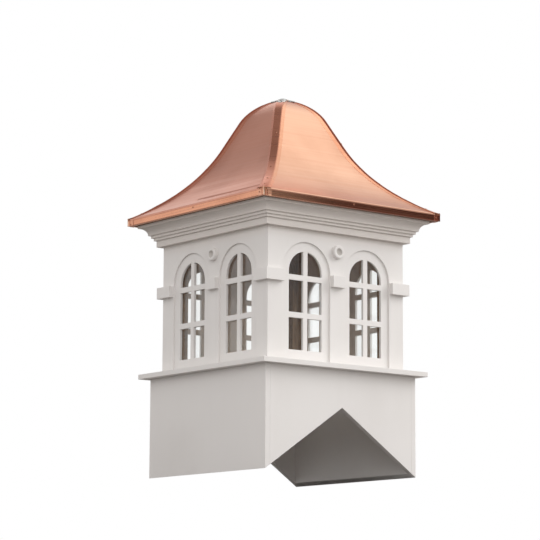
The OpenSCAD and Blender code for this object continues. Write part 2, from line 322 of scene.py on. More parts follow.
# A row for this holds the noise's stretch, detail and roughness, its low and high, and what these become
def addPattern(finish, stretch, detail, roughness, *levels):
    return addRange(finish, addNoise(finish, stretch, detail, roughness), *levels)


def addMath(finish, operation, first, second=None):
    node = addNode(finish, "ShaderNodeMath", operation=operation)
    for socket, value in zip(node.inputs, (first, second)):
        if value is None:
            continue
        if isinstance(value, (int, float)):
            socket.default_value = value
        else:
            link(finish, value, socket)
    return node.outputs["Value"]


def mixColors(finish, share, first, second):
    node = addNode(finish, "ShaderNodeMix", data_type='RGBA')
    link(finish, share, node.inputs["Factor"])
    for socket, value in ((node.inputs[6], first), (node.inputs[7], second)):
        if isinstance(value, tuple):
            socket.default_value = (*value, 1)
        else:
            link(finish, value, socket)
    return node.outputs[2]


def mixShaders(finish, share, first, second):
    mix = addNode(finish, "ShaderNodeMixShader")
    for source, key in ((share, "Fac"), (first, 1), (second, 2)):
        link(finish, source, mix.inputs[key])
    return mix.outputs["Shader"]


def addBump(finish, shader, height, distance, strength):
    bump = addNode(finish, "ShaderNodeBump")
    bump.inputs["Distance"].default_value = distance
    bump.inputs["Strength"].default_value = strength
    link(finish, height, bump.inputs["Height"])
    link(finish, bump.outputs["Normal"], shader.inputs["Normal"])


def placeOf(finish, axis):
    place = addNode(finish, "ShaderNodeTexCoord")
    split = addNode(finish, "ShaderNodeSeparateXYZ")
    link(finish, place.outputs["Object"], split.inputs["Vector"])
    return split.outputs[axis]


# White boards

board = {
    "color": (0.80, 0.775, 0.755),
    "shade": (0.72, 0.69, 0.665),             # where weather has greyed it
    "dustAndDimpleShade": (0.50, 0.47, 0.44),               # painted shade in the dimples of the roundels
    "eave": (0.72, 0.665, 0.62),              # painted shade under the eave
    "eaveFrom": (0.745, 0.80, 0.0, 0.75),     # heights where the painted shade starts and is full, and its share there
    "inside": (0.66, 0.525, 0.43), "insideShadePale": 1.5,  # painted shade on the inner faces, and its paler patches
    "insideHalf": 0.2738,                     # inner faces lie closer to the axis than this
    "weather": ((3, 3, 1.6), 5, 0.5, 0.42, 0.75, 0.0, 0.55),
    "runs": ((11, 11, 0.9), 3, 0.5, 0.52, 0.8, 0.0, 0.22),
    "sheen": ((40, 40, 14), 4, 0.5, 0.3, 0.7, 0.38, 0.56),
    # noise for the paler patches of the painted shade on the inner faces
    "insideShadePatches": ((18, 18, 6), 4),
    "brushMarks": ((420, 420, 260), 3, 0.6), "brushDepth": (0.00025, 0.35),
    "gloss": 0.4,
    "edge": 0.0009,                           # round on the board edges
}


def makeBoardFinish(name, color, shade):
    finish, shader = newFinish(name, color, 0.45)
    worn = addMath(finish, 'MAXIMUM', addPattern(finish, *board["weather"]),
                   addPattern(finish, *board["runs"]))
    outer = mixColors(finish, worn, color, shade)
    # painted shade on the boards high under the eave
    underEaveShade = addRange(finish, placeOf(finish, "Z"), *board["eaveFrom"])
    outer = mixColors(finish, underEaveShade, outer, board["eave"])
    # painted shade on the inner faces, with paler patches
    reach = addMath(finish, 'MAXIMUM', addMath(finish, 'ABSOLUTE', placeOf(finish, "X")),
                    addMath(finish, 'ABSOLUTE', placeOf(finish, "Y")))
    inner = addMath(finish, 'LESS_THAN', reach, board["insideHalf"])
    pale = tuple(channel * board["insideShadePale"] for channel in board["inside"])
    insideShadePatches = mixColors(finish, addNoise(finish, *board["insideShadePatches"]), board["inside"], pale)
    link(finish, mixColors(finish, inner, outer, insideShadePatches), shader.inputs["Base Color"])
    link(finish, addPattern(finish, *board["sheen"]), shader.inputs["Roughness"])
    addBump(finish, shader, addNoise(finish, *board["brushMarks"]), *board["brushDepth"])
    shader.inputs["Specular IOR Level"].default_value = board["gloss"]
    return finish


whiteBoard = makeBoardFinish("satinWhiteBoard", board["color"], board["shade"])
# painted shade for the dimples of the roundels
dimpleShadeBoard = makeBoardFinish("dimpleShadeBoard", board["dustAndDimpleShade"], board["shade"])
boardNodes = [name for name in nodes if name.split("_")[0] in
              ("base", "shelf", "arcade", "sash", "corner", "mid", "frieze", "crown")]
for name in boardNodes:
    paint(nodes[name], whiteBoard)
    roundEdges(nodes[name], board["edge"])
print("white boards finished:", len(boardNodes))


# Roundels

roundel = {
    "radius": 0.022, "out": 0.014, "round": 0.0038, "sides": 48,
    "dish": 0.012,                     # the dimple's radius
    "dimple": [(0.0130, 0.0), (0.0122, -0.0003), (0.0114, -0.0012),
               (0.0070, -0.0054), (0.0056, -0.0060), (0.0, -0.0062)],  # [radius, height over the face]
    "face": 0.289, "height": 0.728,    # of the board it stands on, and of its middle
}


def makeRoundels():
    r, out, soft = roundel["radius"], roundel["out"], roundel["round"]
    outline = [(0.0, 0.0), (r, 0.0)] + arcPoints(Vector((r - soft, out - soft)), soft, quarter, 0, 6)
    outline += [(radius, out + height) for radius, height in roundel["dimple"]]
    knob = turnPiece("roundelKnob", outline, roundel["sides"])
    knob.data.transform(Matrix.Translation((0, -roundel["face"], roundel["height"]))
                        @ Matrix.Rotation(quarter, 4, 'X'))
    knob.data.update()
    faceOutward(knob, (0, 0, roundel["height"]))
    soften(knob, 35)
    faces = len(knob.data.polygons)
    middle = Vector((0, roundel["height"]))
    dish = [face.index for face in knob.data.polygons if (face.center.xz - middle).length < roundel["dish"]]
    whole = joinPieces(repeatRound(knob, "roundel"))
    whole.name = "turnedRoundels"
    dress(whole, whiteBoard, "paint", "roundels")
    # painted shade in the dimples
    markFaces(whole, dimpleShadeBoard, dish, faces)


makeRoundels()
print("roundels turned")


# Glazing, timber frame and rod socket

glassPane = {
    "color": (0.99, 1.0, 0.995), "roughness": 0.015, "ior": 1.49,
    "dustAndDimpleShade": ((9, 9, 7), 6, 0.5, 0.45, 0.8, 0.01, 0.09),
    "shadow": (0.95, 0.955, 0.95),     # what light it lets through
}


def makeGlassFinish():
    finish, shader = newFinish("clearPane", glassPane["color"], glassPane["roughness"])
    shader.inputs["Transmission Weight"].default_value = 1.0
    shader.inputs["IOR"].default_value = glassPane["ior"]
    link(finish, addPattern(finish, *glassPane["dustAndDimpleShade"]), shader.inputs["Roughness"])
    through = addNode(finish, "ShaderNodeBsdfTransparent")
    through.inputs["Color"].default_value = (*glassPane["shadow"], 1)
    path = addNode(finish, "ShaderNodeLightPath")
    plain = addMath(finish, 'MAXIMUM', path.outputs["Is Shadow Ray"], path.outputs["Is Diffuse Ray"])
    whole = mixShaders(finish, plain, shader.outputs["BSDF"], through.outputs["BSDF"])
    link(finish, whole, finish.node_tree.nodes["Material Output"].inputs["Surface"])
    return finish


timber = {
    "pale": (0.34, 0.22, 0.13), "dark": (0.17, 0.10, 0.055),
    "grain": (5, 0.6, 0.35, 0.66, 0.0, 1.0),           # as a pattern, after its stretch
    "patches": ((12, 12, 12), 3, 0.5, 0.3, 0.7, 0.0, 0.6),
    "fibre": 4, "fibreNoise": (4, 0.7), "fibreDepth": (0.0006, 0.7),  # so many times finer than the grain
    "edge": 0.0012,
}


def makeTimberFinish(name, stretch):
    finish, shader = newFinish(name, timber["pale"], 0.8)
    grain = addPattern(finish, stretch, *timber["grain"])
    both = addMath(finish, 'MAXIMUM', grain, addPattern(finish, *timber["patches"]))
    link(finish, mixColors(finish, both, timber["dark"], timber["pale"]), shader.inputs["Base Color"])
    link(finish, addRange(finish, grain, 0, 1, 0.9, 0.7), shader.inputs["Roughness"])
    fibre = addNoise(finish, tuple(timber["fibre"] * scale for scale in stretch), *timber["fibreNoise"])
    addBump(finish, shader, fibre, *timber["fibreDepth"])
    return finish


zincTube = {
    "color": (0.55, 0.555, 0.56), "dull": (0.36, 0.36, 0.355),
    "spangle": 260, "spangleDepth": (0.0002, 0.4),
    "sheen": ((150, 150, 150), 3, 0.5, 0.3, 0.7, 0.32, 0.58),
    "edge": 0.0007,
}


def makeZincFinish():
    finish, shader = newFinish("galvanizedTube", zincTube["color"], 0.42, 0.9)
    place = addNode(finish, "ShaderNodeTexCoord")
    spangle = addNode(finish, "ShaderNodeTexVoronoi")
    spangle.inputs["Scale"].default_value = zincTube["spangle"]
    link(finish, place.outputs["Object"], spangle.inputs["Vector"])
    flakes = addRange(finish, spangle.outputs["Distance"], 0.1, 0.9, 0.0, 1.0)
    link(finish, mixColors(finish, flakes, zincTube["color"], zincTube["dull"]), shader.inputs["Base Color"])
    link(finish, addPattern(finish, *zincTube["sheen"]), shader.inputs["Roughness"])
    addBump(finish, shader, flakes, *zincTube["spangleDepth"])
    return finish


layeredTimber = makeTimberFinish("layeredTimber", (9, 9, 160))
postTimber = makeTimberFinish("postTimber", (150, 150, 9))
for name, finish in (("roof_curb", layeredTimber), ("hip_ribs", layeredTimber), ("wall_posts", postTimber),
                     ("peak_block", postTimber)):
    paint(nodes[name], finish)
    roundEdges(nodes[name], timber["edge"])
paint(nodes["glazing"], makeGlassFinish())
paint(nodes["rod_socket"], makeZincFinish())
roundEdges(nodes["rod_socket"], zincTube["edge"])
print("glazing, timber and socket finished")


# Copper finishes

copperSheet = {
    # noises: stretch, detail, roughness and offset
    "brushing": ((2.2, 2.2, 210), 4, 0.6),
    "bands": ((2.4, 2.4, 11), 2, 0.45, (3, 1, 7)),
    "clouds": ((6, 6, 6), 5, 0.5, (1, 5, 2)),
    "bandShare": 0.45,                        # the bands darken by this share of what the clouds do
    "fine": (0.3, 0.7, -0.03, 0.05),          # the brushing's own light and dark
    "brushDepth": (0.0003, 0.12),
    # each copper: bright and brown colour, share of the brown, least and most roughness, metallic
    "panel": ("brushedCopper", (0.82, 0.40, 0.295), (0.66, 0.29, 0.20), 0.45, (0.30, 0.44)),
    "cap": ("capCopper", (0.80, 0.325, 0.215), (0.60, 0.23, 0.145), 0.6, (0.26, 0.38)),
    "band": ("bandCopper", (0.84, 0.405, 0.26), (0.60, 0.26, 0.165), 0.5, (0.22, 0.34)),
    "rivet": ("rivetCopper", (0.80, 0.37, 0.26), (0.52, 0.21, 0.135), 0.6, (0.30, 0.45)),
    # painted shade along the crease
    "crease": ("creaseShadeCopper", (0.62, 0.25, 0.17), (0.44, 0.155, 0.10), 0.7, (0.40, 0.55), 0.8),
    "shaded": ("shadedCopper", (0.40, 0.10, 0.055), (0.10, 0.022, 0.013), 0.9, (0.35, 0.5), 0.8),
    # a painted highlight on the fold beside each eave corner
    "foldHighlight": ("foldHighlightCopper", (0.98, 0.72, 0.54), (0.93, 0.56, 0.40), 0.4, (0.26, 0.34), 0.1),
    "fold": ("foldCopper", (0.88, 0.45, 0.30), (0.66, 0.30, 0.19), 0.5, (0.26, 0.38), 0.75),
    # painted shade in the middles of the rivets and the small openings
    "hollow": ("hollowCopper", (0.30, 0.085, 0.03), (0.15, 0.04, 0.016), 0.6, (0.45, 0.6), 0.9),
    "darkBand": (0.33, 0.11, 0.07), "darkFrom": (-0.36, 0.0, 0.0, 0.95),  # and where along X it sets in
}


def makeCopperFinish(name, bright, brown, share, rough, metallic=1.0):
    finish, shader = newFinish(name, bright, 0.36, metallic)
    brushing = addNoise(finish, *copperSheet["brushing"])
    bands = addNoise(finish, *copperSheet["bands"])
    clouds = addNoise(finish, *copperSheet["clouds"])
    tarnish = addMath(finish, 'ADD', addRange(finish, clouds, 0.38, 0.72, 0.0, share),
                      addRange(finish, bands, 0.4, 0.7, 0.0, share * copperSheet["bandShare"]))
    tarnish = addMath(finish, 'ADD', tarnish, addRange(finish, brushing, *copperSheet["fine"]))
    link(finish, mixColors(finish, tarnish, bright, brown), shader.inputs["Base Color"])
    link(finish, addRange(finish, brushing, 0.3, 0.72, *rough), shader.inputs["Roughness"])
    addBump(finish, shader, brushing, *copperSheet["brushDepth"])
    return finish


# The band has darkened from the front left corner on
def makeBandFinish():
    finish = makeCopperFinish(*copperSheet["band"])
    target = finish.node_tree.nodes["Principled BSDF"].inputs["Base Color"]
    fresh = target.links[0].from_socket
    along = addRange(finish, placeOf(finish, "X"), *copperSheet["darkFrom"])
    link(finish, mixColors(finish, along, fresh, copperSheet["darkBand"]), target)
    return finish


panelCopper = makeCopperFinish(*copperSheet["panel"])
capCopper = makeCopperFinish(*copperSheet["cap"])
bandCopper = makeBandFinish()
rivetCopper = makeCopperFinish(*copperSheet["rivet"])
creaseShadeCopper = makeCopperFinish(*copperSheet["crease"])
shadedCopper = makeCopperFinish(*copperSheet["shaded"])
foldHighlightCopper = makeCopperFinish(*copperSheet["foldHighlight"])
foldCopper = makeCopperFinish(*copperSheet["fold"])
hollowCopper = makeCopperFinish(*copperSheet["hollow"])
print("copper finishes mixed")


# Bell roof

bell = {
    "eaveHalf": 0.3785, "eaveTop": 0.888, "peak": 1.293,
    "dome": 0.140, "flare": 0.490, "eaveSlope": 26, "peakSlope": 8.5,
    "step": 0.006,           # length of one course of the mesh
    "columns": 60, "spare": 0.002,  # across the panel, and what the mitre cuts off beyond the eave
    "sheet": 0.0012, "innerEnd": 0.004,
    "roll": 0.0040, "drip": 0.0030, "overBand": 0.0005,  # the low edge rolls over and hangs before the band
    "rollRoom": 0.002,       # from the roll to the next course
    "dent": 0.0011, "dentSize": 0.085, "dentStretch": 3.4,  # oil-canning of the hand-formed sheet
}
# Long buckle of the left panel above its eave, from the middle to the front corner
crease = {
    "from": -0.040, "to": 0.350, "up": 0.044, "deep": 0.0046, "size": 0.011,
    # each push: its share of the depth, and where along the buckle it starts and ends
    "pushes": [(0.45, 0.0, 1.0), (0.35, 0.12, 0.75), (0.20, 0.2, 0.5)],
    "pickHalf": 0.0035, "shadeWidth": 0.0065,
}
insideRoof = (0, 0, bell["eaveTop"] - 0.3)


def bellPath():
    eaveTilt, peakTilt = math.radians(bell["eaveSlope"]), math.radians(bell["peakSlope"])
    dome, flare = bell["dome"], bell["flare"]
    domeCentre = Vector((-dome * math.sin(peakTilt), bell["peak"] - dome * math.cos(peakTilt)))
    flareCentre = (Vector((bell["eaveHalf"], bell["eaveTop"]))
                   + flare * Vector((math.sin(eaveTilt), math.cos(eaveTilt))))
    between = flareCentre - domeCentre
    flankTilt = math.atan2(between.x, between.y) - math.acos((dome + flare) / between.length)

    def courses(length):
        return round(length / bell["step"])

    flareCount = max(2, courses(abs(flankTilt - eaveTilt) * flare))
    domeCount = max(2, courses(abs(peakTilt - flankTilt) * dome))
    low = arcPoints(flareCentre, -flare, eaveTilt, flankTilt, flareCount)
    top = arcPoints(domeCentre, dome, flankTilt, peakTilt, domeCount)
    foot, head = low[-1], top[0]
    count = max(1, courses((head - foot).length))
    return low + [foot.lerp(head, index / count) for index in range(1, count)] + top


bellCourses = bellPath()  # [distance from the axis, height], from the eave to the peak


def bellHeight(reach):
    for (farReach, low), (nearReach, high) in zip(bellCourses, bellCourses[1:]):
        if nearReach <= reach <= farReach:
            return low + (high - low) * (farReach - reach) / (farReach - nearReach)
    return bellCourses[0].y if reach > bellCourses[0].x else bellCourses[-1].y


def eaveRoll():
    tilt = math.radians(bell["eaveSlope"])
    roll, out = bell["roll"], bell["eaveHalf"] + bell["overBand"]
    start = out - roll + roll * math.sin(tilt)
    top = bell["eaveTop"] + (bell["eaveHalf"] - start) * math.tan(tilt)
    centre = Vector((out - roll, top - roll * math.cos(tilt)))
    return [Vector((out, centre.y - bell["drip"]))] + arcPoints(centre, roll, quarter, tilt, 4)


def makeRoofPanels():
    roll = eaveRoll()
    outline = roll + [point for point in bellCourses
                      if bell["innerEnd"] < point.x < roll[-1].x - bell["rollRoom"]]
    blank = drawSheet("panelBlank", bell["eaveHalf"] + bell["spare"], bell["columns"],
                      [(-reach, height) for reach, height in outline])
    mitreEnds(blank, insideRoof)
    for index, (face, turn) in enumerate(faceTurns.items()):
        panel = copyPiece(blank, "roofPanel_" + face)
        dent(panel, "oilCanning", bell["dentSize"], bell["dent"], (0.7 * index, 0.3, 0.2 * index),
             bell["dentStretch"])
        creaseShadeFaces = creasePanel(panel) if face == "left" else []
        panel.data.transform(Matrix.Rotation(math.radians(turn), 4, 'Z'))
        thicken(panel, bell["sheet"])
        soften(panel, 30)
        dress(panel, panelCopper, "copper", "roof_" + face)
        # painted shade on the faces just above the left panel's crease
        if creaseShadeFaces:
            markFaces(panel, creaseShadeCopper, creaseShadeFaces)
    bpy.data.objects.remove(blank)


def creasePanel(panel):
    line = -bell["eaveHalf"] + crease["up"]
    openEdit(panel)
    for part, low, high in crease["pushes"]:
        first = crease["from"] + (crease["to"] - crease["from"]) * low
        last = crease["from"] + (crease["to"] - crease["from"]) * high
        pickVerts(panel, lambda co: first < co.x < last and abs(co.y - line) < crease["pickHalf"])
        bpy.ops.transform.translate(value=(0, 0, -crease["deep"] * part), use_proportional_edit=True,
                                    proportional_edit_falloff='SMOOTH', proportional_size=crease["size"])
    closeEdit()
    # the faces just above the crease line, which take its painted shade
    return [face.index for face in panel.data.polygons
            if 0 < face.center.y - line < crease["shadeWidth"]
            and crease["from"] < face.center.x < crease["to"]]


makeRoofPanels()
print("roof panels formed")


# Hip caps: a flat folded strip over each hip, modelled at the front left one

hipCap = {
    # half of the section across the hip: [distance from the hip, height over the cap's flat]
    "halfSection": [(0.0, 0.0), (0.0050, -0.0001), (0.0100, -0.0002), (0.0117, -0.0004), (0.0122, -0.0008),
                    (0.0124, -0.0015), (0.0127, -0.0028), (0.0215, -0.0060), (0.0217, -0.0085)],
    "edge": 0.0124, "foot": 0.0215,      # the flat's edge, and the far edge of the flange on the panel
    "wall": 0.0028, "wallShare": 0.64,   # drop at the flat's edge: the least, and its share of the way down
    "footDrop": 0.0060, "flangeLeast": 0.002,  # the foot's drop in the section, and the narrowest flange
    "footRows": (0.0210, 0.0225), "wallRows": (0.01255, 0.0130),  # distances between which their points lie
    "overPanel": 0.0006,
    "rise": 0.0014, "start": 0.3860, "end": 0.0125, "step": 0.0055, "sheet": 0.0009,
    "buckle": 0.0009, "buckleSize": 0.03,
    # the low end spreads and bends onto the panels, each row of points by its share
    "flareFrom": 0.300, "flareOut": 0.0115, "flareDrop": 0.0078, "flareCurve": 1.5, "flareMost": 1.1,
    "flareRows": [(0.0109, 0.01250, 1.0), (0.0090, 0.0109, 0.62), (0.0045, 0.0090, 0.15)],
    "trim": 0.3797,
}


def hipHeight(reach):
    past = max(0, reach - bell["eaveHalf"])
    return bellHeight(reach) + hipCap["rise"] - past * math.tan(math.radians(bell["eaveSlope"]))


# How far the panel lies under the cap's flat, at a distance from the hip
def panelDrop(reach, side):
    return hipHeight(reach) - bellHeight(min(reach + side / math.sqrt(2), bell["eaveHalf"]))


def makeHipCaps():
    start, end = hipCap["start"], hipCap["end"]
    count = round((start - end) / hipCap["step"])
    reaches = [start + (end - start) * index / count for index in range(count + 1)]
    path = [Vector((-reach, -reach, hipHeight(reach))) for reach in reaches]
    half = hipCap["halfSection"]
    section = [hipAcross * -side + Vector((0, 0, drop)) for side, drop in reversed(half[1:])]
    section += [hipAcross * side + Vector((0, 0, drop)) for side, drop in half]
    cap = startPoint("hipBlank", section[0] + path[0])
    extrudeBy(stepsOf(section))
    selectAll()
    extrudeBy(stepsOf(path))

    def nudge(reach, rows, outward, drop):
        inner, outer = rows
        for side in (1, -1):
            pickVerts(cap, lambda co: abs(co.x + co.y + 2 * reach) < levelGap
                      and inner < side * (co - Vector((-reach, -reach, 0))).dot(hipAcross) < outer)
            bpy.ops.transform.translate(value=hipAcross * side * outward - Vector((0, 0, drop)))

    for reach in reaches:
        share = max(0, (reach - hipCap["flareFrom"]) / (bell["eaveHalf"] - hipCap["flareFrom"]))
        share = min(hipCap["flareMost"], share ** hipCap["flareCurve"])
        spread, bend = hipCap["flareOut"] * share, hipCap["flareDrop"] * share
        edge = hipCap["edge"] + spread
        foot = max(hipCap["foot"], edge + hipCap["flangeLeast"])
        room = panelDrop(reach, edge) - bend
        wall = bend + min(room, max(hipCap["wall"], hipCap["wallShare"] * room))
        nudge(reach, hipCap["footRows"], foot - hipCap["foot"],
              panelDrop(reach, foot) - hipCap["overPanel"] - hipCap["footDrop"])
        nudge(reach, hipCap["wallRows"], spread, wall - hipCap["wall"])
        if share > 0:
            for inner, outer, part in hipCap["flareRows"]:
                nudge(reach, (inner, outer), spread * part, bend * part)
    trimBeyond((-1, 0, 0), hipCap["trim"])
    trimBeyond((0, -1, 0), hipCap["trim"])
    closeEdit()
    faceOutward(cap, insideRoof)
    dent(cap, "capBuckles", hipCap["buckleSize"], hipCap["buckle"], (0.4, 0.1, 0.2))
    thicken(cap, hipCap["sheet"])
    soften(cap, 20)
    for index, corner in enumerate(("front_left", "front_right", "back_right", "back_left")):
        dress(copyPiece(cap, "hipCap_" + corner, 90 * index), capCopper, "copper", "hip_cap_" + corner)
    bpy.data.objects.remove(cap)


makeHipCaps()
print("hip caps folded")


# Folded corners of the eave, modelled at the front left one

cornerFold = {
    "corner": 0.3781,        # of the band: half its width over the flat
    # plan from that corner: along the left face, round the pinched corner and along the front face
    "plan": [(-0.0001, 0.0262), (-0.0010, 0.0254), (-0.0012, 0.0170), (-0.0012, 0.0082), (0.0006, 0.0064),
             (0.0005, 0.0046), (-0.0017, 0.0018), (-0.0018, 0.0004), (-0.0010, -0.0012), (0.0006, -0.0019),
             (0.0022, -0.0016), (0.0052, 0.0002), (0.0078, 0.0014), (0.0086, 0.0010), (0.0094, -0.0011),
             (0.0122, -0.0014), (0.0158, 0.0005), (0.0172, 0.0004), (0.0182, -0.0014), (0.0232, -0.0013),
             (0.0290, -0.0002), (0.0318, -0.0010), (0.0330, -0.0011), (0.0340, -0.0002)],
    "levels": [0.8636, 0.8652, 0.8690, 0.8735, 0.8780, 0.8825, 0.8862, 0.8878],
    "sheet": 0.0008, "buckle": 0.0010, "buckleSize": 0.012,
    "ridge": (0.0010, 0.0010, 0.0040), "ridgeWidth": 0.0035,  # the pinch reaches up to the hip cap
    "pinchLength": 0.012,        # past it the low edge curls outward and the top edge tucks under the panel
    "curl": 0.0007, "tuck": -0.0018,
    "foldHighlight": (0.0006, 0.0080),  # painted highlight on the fold beside the corner
    "shaded": (0.024, 0.004),    # how far the dark patch goes along the front, and how far in
}


def makeCornerFolds():
    corner, levels, pinch = cornerFold["corner"], cornerFold["levels"], cornerFold["pinchLength"]
    plan = [Vector((-corner + x, -corner + y, 0)) for x, y in cornerFold["plan"]]
    fold = startPoint("foldBlank", plan[0] + Vector((0, 0, levels[0])))
    extrudeBy(stepsOf(plan))
    selectAll()
    extrudeBy((0, 0, step) for step in stepsOf(levels))
    pickVerts(fold, lambda co: co.z > levels[-1] - levelGap
              and co.x + co.y < -2 * corner + cornerFold["ridgeWidth"])
    bpy.ops.transform.translate(value=cornerFold["ridge"])
    for outward in (Vector((-1, 0, 0)), Vector((0, -1, 0))):
        along = 1 if outward.x else 0
        pickVerts(fold, lambda co: co.z < levels[0] + levelGap and co[along] > -corner + pinch)
        bpy.ops.transform.translate(value=outward * cornerFold["curl"])
        pickVerts(fold, lambda co: co.z > levels[-1] - levelGap and co[along] > -corner + pinch)
        bpy.ops.transform.translate(value=outward * cornerFold["tuck"])
    closeEdit()
    faceOutward(fold, (0, 0, levels[0]))
    dent(fold, "foldBuckles", cornerFold["buckleSize"], cornerFold["buckle"], (0.2, 0.5, 0.1), 1.0, 1.0)
    thicken(fold, cornerFold["sheet"])
    soften(fold, 30)
    # the front-facing faces of the fold beside the corner take a painted highlight
    low, high = (-corner + distance for distance in cornerFold["foldHighlight"])
    highlitFaces = [face.index for face in fold.data.polygons if low < face.center.x < high and face.normal.y < -0.5]
    folds = repeatRound(fold, "cornerFold")
    for piece in folds:
        dress(piece, foldCopper, "copper")
        markFaces(piece, foldHighlightCopper, highlitFaces)
    along, deep = cornerFold["shaded"]
    markFaces(folds[1], shadedCopper, [face.index for face in folds[1].data.polygons
                                       if face.center.y < -corner + deep and face.center.x > corner - along])


# Small open pinches in the sheet of the folds: a raised rim round a shallow hollow, painted dark as the shade
# of the opening
opening = {
    "outline": [(0.0, -0.0006), (1.0, -0.0006), (1.0, 0.0), (0.90, 0.0006), (0.74, 0.0006), (0.62, -0.0001),
                (0.0, -0.0004)],     # [share of its half length, height]
    "sides": 24, "hollow": 0.70,
    "corner": 0.3793, "face": 0.3793,
    # side, distance from the corner, height, half length, half height
    "places": [(-1, 0.0122, 0.8858, 0.0110, 0.0037), (1, 0.0100, 0.8852, 0.0062, 0.0042)],
}


# A place beside the front left corner: side -1 is on the left face, and side 1 on the front one
def besideCorner(settings, side, along, height):
    face, corner = settings["face"], settings["corner"]
    return Vector((-face, -corner + along, height) if side < 0 else (-corner + along, -face, height))


def makeOpenings():
    blank = turnPiece("openingBlank", opening["outline"], opening["sides"])
    # the middle of each opening takes painted shade
    hollow = [face.index for face in blank.data.polygons if face.center.xy.length < opening["hollow"]]
    soften(blank, 40)
    pinches = []
    for side, along, height, halfLength, halfHeight in opening["places"]:
        pinch = copyPiece(blank, "pinch")
        pinch.data.transform(Matrix.Diagonal((halfLength, halfHeight, 1, 1)))
        pinch.data.transform(Matrix.Rotation(quarter, 4, 'X'))
        if side < 0:
            pinch.data.transform(Matrix.Rotation(-quarter, 4, 'Z'))
        pinch.data.transform(Matrix.Translation(besideCorner(opening, side, along, height)))
        pinches.append(pinch)
    faces = len(blank.data.polygons)
    bpy.data.objects.remove(blank)
    for piece in repeatRound(joinPieces(pinches), "cornerOpenings"):
        dress(piece, bandCopper, "copper")
        markFaces(piece, hollowCopper, hollow, faces)


makeCornerFolds()
makeOpenings()
print("eave corners folded")


# Rivets and screws

rivet = {
    "outline": [(0.0, 0.0), (0.0036, 0.0), (0.0035, 0.0007), (0.0028, 0.0013), (0.0017, 0.0016),
                (0.0013, 0.0009), (0.0, 0.0007)],
    "sides": 14, "hollow": 0.0019,
    "hipReaches": [0.142, 0.2345, 0.297, 0.345],
    "sink": 0.0002, "span": 0.005,             # into the cap, whose slope is taken over this way up and down
    "corner": 0.3785, "face": 0.3790,
    "screws": [(-1, 0.0185, 0.8745), (1, 0.0205, 0.8672)],  # side, distance from the corner, height
    "bandRivet": (0, -0.3776, 0.8765),
    "small": 0.72,                             # size of the screws, and height of the rivet on the band
}


def makeRivets():
    blank = turnPiece("rivetBlank", rivet["outline"], rivet["sides"])
    soften(blank, 50)
    faces = len(blank.data.polygons)
    # the middle of each rivet head takes painted shade
    hollow = [face.index for face in blank.data.polygons if face.center.xy.length < rivet["hollow"]]
    small, span = rivet["small"], rivet["span"]
    heads = []  # place, direction, width and height
    for reach in rivet["hipReaches"]:
        rise = hipHeight(reach - span) - hipHeight(reach + span)
        upHip = Vector((2 * span, 2 * span, rise)).normalized()
        place = Vector((-reach, -reach, hipHeight(reach) - rivet["sink"]))
        heads.append((place, hipAcross.cross(upHip).normalized(), 1, 1))
    for side, along, height in rivet["screws"]:
        outward = Vector((-1, 0, 0)) if side < 0 else Vector((0, -1, 0))
        heads.append((besideCorner(rivet, side, along, height), outward, small, small))
    heads.append((Vector(rivet["bandRivet"]), Vector((0, -1, 0)), 1, small))
    rivets = []
    for place, outward, wide, high in heads:
        one = copyPiece(blank, "rivet")
        turn = Vector((0, 0, 1)).rotation_difference(outward).to_matrix().to_4x4()
        one.data.transform(Matrix.Translation(place) @ turn @ Matrix.Diagonal((wide, wide, high, 1)))
        rivets.append(one)
    bpy.data.objects.remove(blank)
    for piece in repeatRound(joinPieces(rivets), "rivets"):
        dress(piece, rivetCopper, "copper")
        markFaces(piece, hollowCopper, hollow, faces)


makeRivets()
print("rivets set")


# Eave bands

eaveBand = {
    "face": 0.3781, "halfLength": 0.3795, "low": 0.8632, "high": 0.8886, "lip": 0.0135, "round": 0.0022,
    "flat": 0.006,           # from each edge to the flat middle
    "columns": 60, "sheet": 0.0009, "wave": 0.0007, "waveSize": 0.05, "waveStretch": 2,
}


def makeEaveBands():
    face, low, high, r = eaveBand["face"], eaveBand["low"], eaveBand["high"], eaveBand["round"]
    path = [(-face + eaveBand["lip"], low), (-face + r * 2, low)]
    path += arcPoints(Vector((-face + r, low + r)), r, 2 * quarter, 3 * quarter, 4)
    path += [(-face, low + eaveBand["flat"]), (-face, (low + high) / 2), (-face, high - eaveBand["flat"])]
    path += arcPoints(Vector((-face + r, high - r)), r, 3 * quarter, 3.75 * quarter, 3)
    blank = drawSheet("bandBlank", eaveBand["halfLength"], eaveBand["columns"], path)
    mitreEnds(blank, (0, 0, high))
    for index, (face, turn) in enumerate(faceTurns.items()):
        band = copyPiece(blank, "eaveBand_" + face)
        dent(band, "bandWaves", eaveBand["waveSize"], eaveBand["wave"], (0.9 * index, 0.1, 0),
             eaveBand["waveStretch"], 1.0)
        band.data.transform(Matrix.Rotation(math.radians(turn), 4, 'Z'))
        thicken(band, eaveBand["sheet"])
        soften(band, 40)
        dress(band, bandCopper, "copper", "eave_band_" + face)
    bpy.data.objects.remove(blank)


makeEaveBands()
print("eave bands hemmed")


# Peak cap and the sealant round the socket

